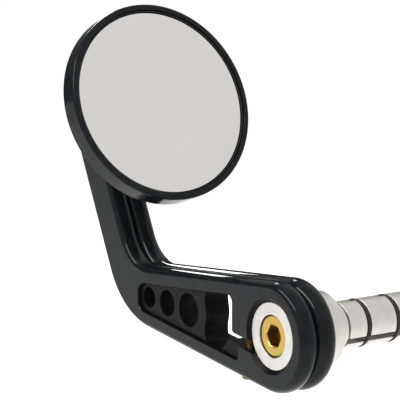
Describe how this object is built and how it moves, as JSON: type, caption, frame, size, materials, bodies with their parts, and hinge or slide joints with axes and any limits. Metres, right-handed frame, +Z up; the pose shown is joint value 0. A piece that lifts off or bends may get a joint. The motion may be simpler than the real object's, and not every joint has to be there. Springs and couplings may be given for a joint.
{
  "type": "bar-end mirror",
  "caption": "Round convex mirror on a ball joint, carried by an elbowed billet arm clamped to an expanding bar-end plug.",
  "frame": {"origin": "centre of the handlebar's end face, on the bar's axis", "axes": "+Y into the handlebar along its axis, +Z up, -X the way the arm reaches out; the glass faces +X and up"},
  "size_m": [0.1616, 0.1096, 0.141],
  "materials": {
    "black_anodised": "gloss black anodised billet aluminium",
    "bright_aluminium": "bare turned aluminium",
    "yellow_zinc": "yellow zinc plated steel",
    "bright_steel": "bright steel",
    "silvered_glass": "convex silvered mirror",
    "black_rubber": "matt black rubber",
    "grey_foam": "closed-cell foam pad",
    "white_nylon": "natural nylon"
  },
  "bodies": {
    "bar_insert": {"clamp_bush": "bright_aluminium", "spring_washer": "bright_steel"},
    "main_screw": {"main_screw": "yellow_zinc"},
    "taper_nut": {"taper_nut": "bright_steel"},
    "collet_segment_1": {"collet_segment_1": "bright_aluminium"},
    "collet_segment_2": {"collet_segment_2": "bright_aluminium"},
    "collet_segment_3": {"collet_segment_3": "bright_aluminium"},
    "collet_rings": {"collet_ring_front": "black_rubber", "collet_ring_rear": "black_rubber"},
    "arm": {"mirror_arm": "black_anodised", "ball_stud": "bright_steel", "stud_washer": "bright_steel", "stud_grub_screw": "bright_steel"},
    "pinch_screw_outer": {"pinch_screw_outer": "yellow_zinc"},
    "pinch_screw_inner": {"pinch_screw_inner": "yellow_zinc"},
    "ball_cup_rear": {"ball_cup_rear": "white_nylon"},
    "ball_cup_front": {"ball_cup_front": "white_nylon"},
    "head": {"mirror_housing": "black_anodised", "seat_spring": "bright_steel", "retaining_plate": "bright_steel", "plate_screw_1": "bright_steel", "plate_screw_2": "bright_steel", "plate_screw_3": "bright_steel", "glass_pad": "grey_foam", "mirror_glass": "silvered_glass", "glass_gasket": "black_rubber"}
  },
  "joints": [
    {"name": "taper_nut_slide", "type": "slide", "parent": "bar_insert", "child": "taper_nut", "axis": [0, 1, 0], "range_m": [0, 0.006]},
    {"name": "main_screw_turn", "type": "hinge", "parent": "bar_insert", "child": "main_screw", "pos_m": [0, 0, 0], "axis": [0, -1, 0], "range_deg": [0, 1445]},
    {"name": "collet_segment_1_slide", "type": "slide", "parent": "bar_insert", "child": "collet_segment_1", "axis": [0, 0.9659, 0.2588], "range_m": [0, 0.0032]},
    {"name": "collet_segment_2_slide", "type": "slide", "parent": "bar_insert", "child": "collet_segment_2", "axis": [0.2241, 0.9659, -0.1294], "range_m": [0, 0.0032]},
    {"name": "collet_segment_3_slide", "type": "slide", "parent": "bar_insert", "child": "collet_segment_3", "axis": [-0.2241, 0.9659, -0.1294], "range_m": [0, 0.0032]},
    {"name": "collet_rings_slide", "type": "slide", "parent": "bar_insert", "child": "collet_rings", "axis": [0, 1, 0], "range_m": [0, 0.0031]},
    {"name": "arm_swing", "type": "hinge", "parent": "bar_insert", "child": "arm", "pos_m": [0, 0, 0], "axis": [0, 1, 0], "continuous": true},
    {"name": "pinch_screw_outer_turn", "type": "hinge", "parent": "arm", "child": "pinch_screw_outer", "pos_m": [-0.0177, -0.02127, 0], "axis": [0, 0, -1], "range_deg": [0, 720]},
    {"name": "pinch_screw_inner_turn", "type": "hinge", "parent": "arm", "child": "pinch_screw_inner", "pos_m": [-0.0177, -0.01282, 0], "axis": [0, 0, -1], "range_deg": [0, 720]},
    {"name": "head_yaw", "type": "hinge", "parent": "arm", "child": "ball_cup_rear", "pos_m": [-0.10491, -0.01705, 0.07225], "axis": [0, 1, 0], "range_deg": [-18, 11]},
    {"name": "head_tilt", "type": "hinge", "parent": "ball_cup_rear", "child": "ball_cup_front", "pos_m": [-0.10491, -0.01705, 0.07225], "axis": [-0.3907, 0, 0.9205], "range_deg": [-14, 14]},
    {"name": "head_spin", "type": "hinge", "parent": "ball_cup_front", "child": "head", "pos_m": [-0.10491, -0.01705, 0.07225], "axis": [0.9205, 0, 0.3907], "continuous": true}
  ],
  "couplings": [
    {"joint": "main_screw_turn", "follows": "taper_nut_slide", "rad_per_m": 4188.8},
    {"joint": "collet_segment_1_slide", "follows": "taper_nut_slide", "ratio": 0.51764},
    {"joint": "collet_segment_2_slide", "follows": "taper_nut_slide", "ratio": 0.51764},
    {"joint": "collet_segment_3_slide", "follows": "taper_nut_slide", "ratio": 0.51764},
    {"joint": "collet_rings_slide", "follows": "taper_nut_slide", "ratio": 0.5}
  ]
}
